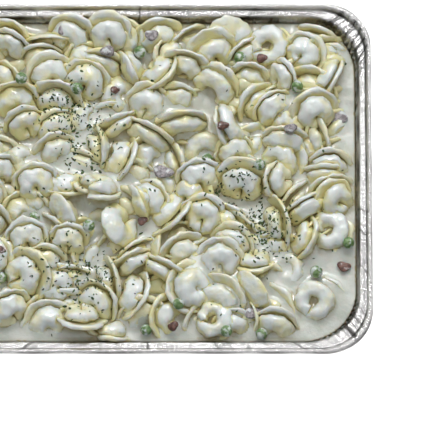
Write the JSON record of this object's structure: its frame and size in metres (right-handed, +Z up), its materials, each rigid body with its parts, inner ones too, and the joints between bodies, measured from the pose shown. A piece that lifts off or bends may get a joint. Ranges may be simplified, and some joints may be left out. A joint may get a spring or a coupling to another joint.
{
  "type": "tray of tortellini in cream sauce",
  "caption": "Rectangular foil steam-table tray filled with tortellini in cream sauce, with green peas and small pieces of mushroom and ham on top.",
  "frame": {"origin": "centre of the tray's footprint, on the plane it rests on", "axes": "+X along the tray's long side, +Y along its short side, +Z up"},
  "size_m": [0.324, 0.264, 0.0765],
  "materials": {
    "foil": "bright crinkled foil",
    "sauce": "glossy cream",
    "pasta": "moist cooked dough, coated with cream",
    "pea_skin": "moist",
    "mushroom_flesh": "moist",
    "ham_meat": "moist"
  },
  "bodies": {
    "root": {"foil_tray": "foil", "cream_sauce": "sauce", "tortellini_heap": "pasta", "pea_01": "pea_skin", "pea_02": "pea_skin", "pea_03": "pea_skin", "pea_04": "pea_skin", "pea_05": "pea_skin", "pea_06": "pea_skin", "pea_07": "pea_skin", "pea_08": "pea_skin", "pea_09": "pea_skin", "pea_10": "pea_skin", "pea_11": "pea_skin", "pea_12": "pea_skin", "pea_13": "pea_skin", "pea_14": "pea_skin", "pea_15": "pea_skin", "pea_16": "pea_skin", "pea_17": "pea_skin", "pea_18": "pea_skin", "pea_19": "pea_skin", "mushroom_01": "mushroom_flesh", "mushroom_02": "mushroom_flesh", "mushroom_03": "mushroom_flesh", "mushroom_04": "mushroom_flesh", "mushroom_05": "mushroom_flesh", "mushroom_06": "mushroom_flesh", "mushroom_07": "mushroom_flesh", "mushroom_08": "mushroom_flesh", "mushroom_09": "mushroom_flesh", "ham_01": "ham_meat", "ham_02": "ham_meat", "ham_03": "ham_meat", "ham_04": "ham_meat", "ham_05": "ham_meat", "ham_06": "ham_meat", "ham_07": "ham_meat", "ham_08": "ham_meat", "ham_09": "ham_meat", "ham_10": "ham_meat"}
  },
  "joints": []
}
